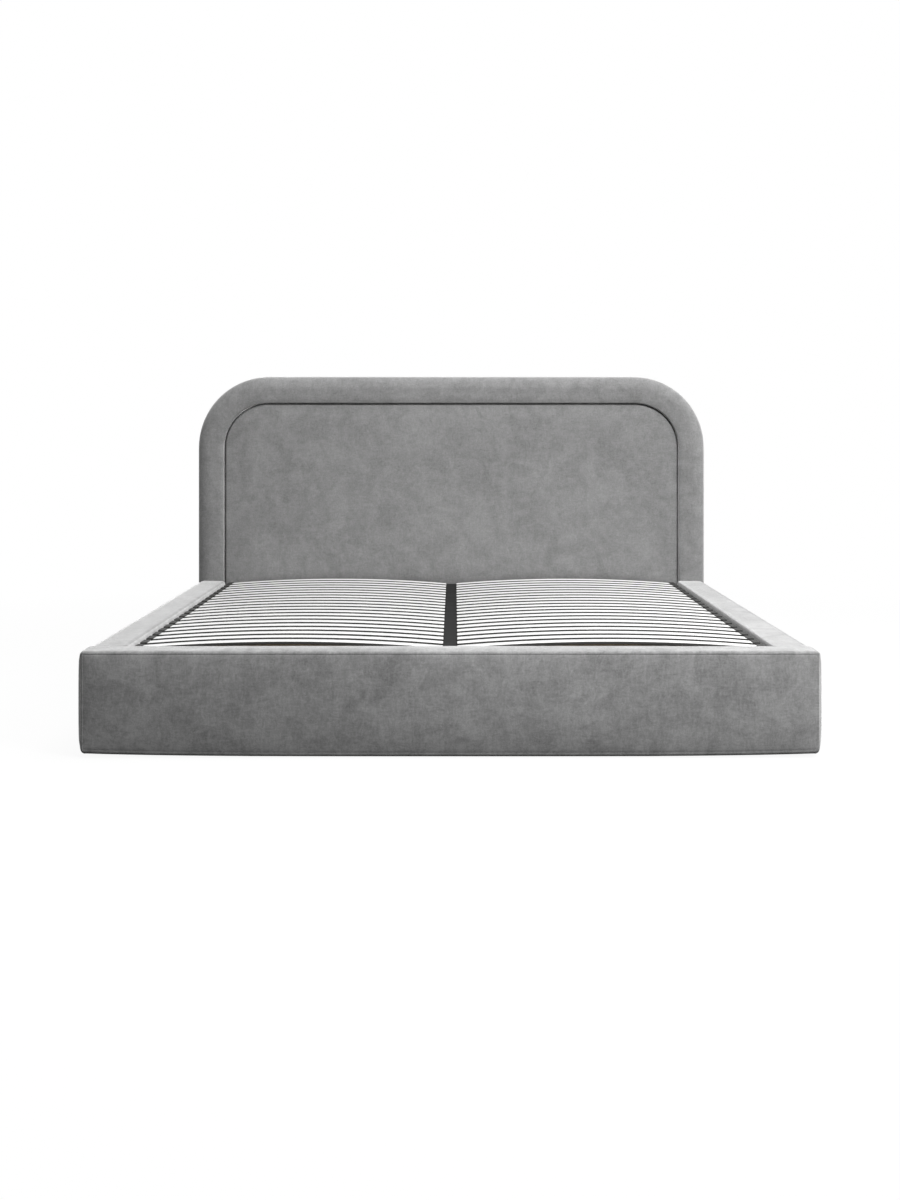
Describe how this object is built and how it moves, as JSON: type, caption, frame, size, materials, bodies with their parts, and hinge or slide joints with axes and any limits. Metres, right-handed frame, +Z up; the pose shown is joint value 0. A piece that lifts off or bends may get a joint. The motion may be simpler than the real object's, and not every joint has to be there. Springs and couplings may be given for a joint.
{
  "type": "upholstered bed",
  "caption": "Upholstered double bed with a padded arch headboard, padded rails, a lift-up slat base on gas struts and a storage box underneath.",
  "frame": {"origin": "on the floor, under the centre of the bed's outer box", "axes": "+X to the bed's right side as seen from its foot, +Y to the headboard, +Z up"},
  "size_m": [2.04, 2.225, 1.108],
  "materials": {
    "upholstery": "soft velvet over foam",
    "board": "raw chipboard",
    "batten": "planed pine",
    "floor_panel": "smooth hardboard",
    "steel": "dark powder coat",
    "birch": "pale pressed birch, satin",
    "strut_enamel": "black gloss enamel",
    "bright_rod": "polished"
  },
  "bodies": {
    "bed_base": {"headboard_board": "board", "headboard_border_pad": "upholstery", "headboard_centre_pad": "upholstery", "side_rail_board_left": "board", "side_rail_board_right": "board", "side_rail_pad_left": "upholstery", "side_rail_pad_right": "upholstery", "footboard_board": "board", "footboard_pad": "upholstery", "foot_cleat": "batten", "storage_floor": "floor_panel", "lift_bracket_left": "steel", "lift_bracket_right": "steel"},
    "slat_lift": {"slat_frame": "steel", "slat_left_01": "birch", "slat_left_02": "birch", "slat_left_03": "birch", "slat_left_04": "birch", "slat_left_05": "birch", "slat_left_06": "birch", "slat_left_07": "birch", "slat_left_08": "birch", "slat_left_09": "birch", "slat_left_10": "birch", "slat_left_11": "birch", "slat_left_12": "birch", "slat_left_13": "birch", "slat_left_14": "birch", "slat_left_15": "birch", "slat_left_16": "birch", "slat_left_17": "birch", "slat_left_18": "birch", "slat_left_19": "birch", "slat_left_20": "birch", "slat_left_21": "birch", "slat_right_01": "birch", "slat_right_02": "birch", "slat_right_03": "birch", "slat_right_04": "birch", "slat_right_05": "birch", "slat_right_06": "birch", "slat_right_07": "birch", "slat_right_08": "birch", "slat_right_09": "birch", "slat_right_10": "birch", "slat_right_11": "birch", "slat_right_12": "birch", "slat_right_13": "birch", "slat_right_14": "birch", "slat_right_15": "birch", "slat_right_16": "birch", "slat_right_17": "birch", "slat_right_18": "birch", "slat_right_19": "birch", "slat_right_20": "birch", "slat_right_21": "birch"},
    "left_cylinder": {"gas_cylinder_left": "strut_enamel"},
    "left_rod": {"gas_rod_left": "bright_rod"},
    "right_cylinder": {"gas_cylinder_right": "strut_enamel"},
    "right_rod": {"gas_rod_right": "bright_rod"}
  },
  "joints": [
    {"name": "frame_lift", "type": "hinge", "parent": "bed_base", "child": "slat_lift", "pos_m": [0, 0.9475, 0.2487], "axis": [-1, 0, 0], "range_deg": [0, 40]},
    {"name": "left_strut_swing", "type": "hinge", "parent": "bed_base", "child": "left_cylinder", "pos_m": [-0.885, 0.9475, 0.0887], "axis": [-1, 0, 0], "range_deg": [0, 33.5]},
    {"name": "left_rod_slide", "type": "slide", "parent": "left_cylinder", "child": "left_rod", "axis": [0, -0.9619, 0.2735], "range_m": [0, 0.093]},
    {"name": "right_strut_swing", "type": "hinge", "parent": "bed_base", "child": "right_cylinder", "pos_m": [0.885, 0.9475, 0.0887], "axis": [-1, 0, 0], "range_deg": [0, 33.5]},
    {"name": "right_rod_slide", "type": "slide", "parent": "right_cylinder", "child": "right_rod", "axis": [0, -0.9619, 0.2735], "range_m": [0, 0.093]}
  ],
  "couplings": [
    {"joint": "left_strut_swing", "follows": "frame_lift", "ratio": 0.835},
    {"joint": "left_rod_slide", "follows": "frame_lift", "m_per_rad": 0.1331},
    {"joint": "right_strut_swing", "follows": "frame_lift", "ratio": 0.835},
    {"joint": "right_rod_slide", "follows": "frame_lift", "m_per_rad": 0.1331}
  ]
}
